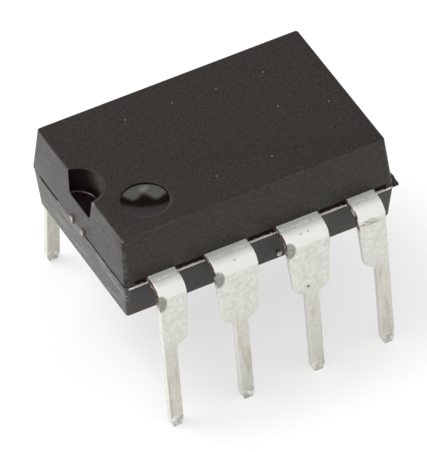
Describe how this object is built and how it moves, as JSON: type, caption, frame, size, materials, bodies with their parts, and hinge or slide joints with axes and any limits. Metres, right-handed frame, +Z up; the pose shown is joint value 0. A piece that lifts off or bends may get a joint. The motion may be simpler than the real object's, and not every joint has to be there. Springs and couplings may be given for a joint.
{
  "type": "dual in-line integrated circuit package",
  "caption": "Dark moulded resin body with an end notch and a round dimple, standing on two rows of bent tin-plated leads, with die, pad and bond wires inside.",
  "frame": {"origin": "middle of the two rows of leads, on the plane of the lead tips", "axes": "+X along the body from the notched end to the plain end, +Y across the body towards leads 5 to 8, +Z up out of the top face"},
  "size_m": [0.0099, 0.009, 0.0073],
  "materials": {
    "moulding_resin": "fine matt, as moulded",
    "tinned_lead": "matt tin plate over copper alloy",
    "bare_copper": "bare copper alloy sheet",
    "silver_adhesive": "cured silver-filled adhesive",
    "silicon": "polished silicon",
    "gold_wire": "drawn gold wire"
  },
  "bodies": {
    "root": {"body": "moulding_resin", "die_pad": "bare_copper", "die_attach": "silver_adhesive", "silicon_die": "silicon", "lead_1": "tinned_lead", "lead_2": "tinned_lead", "lead_3": "tinned_lead", "lead_4": "tinned_lead", "lead_5": "tinned_lead", "lead_6": "tinned_lead", "lead_7": "tinned_lead", "lead_8": "tinned_lead", "bond_wire_1": "gold_wire", "bond_wire_2": "gold_wire", "bond_wire_3": "gold_wire", "bond_wire_4": "gold_wire", "bond_wire_5": "gold_wire", "bond_wire_6": "gold_wire", "bond_wire_7": "gold_wire", "bond_wire_8": "gold_wire"}
  },
  "joints": []
}
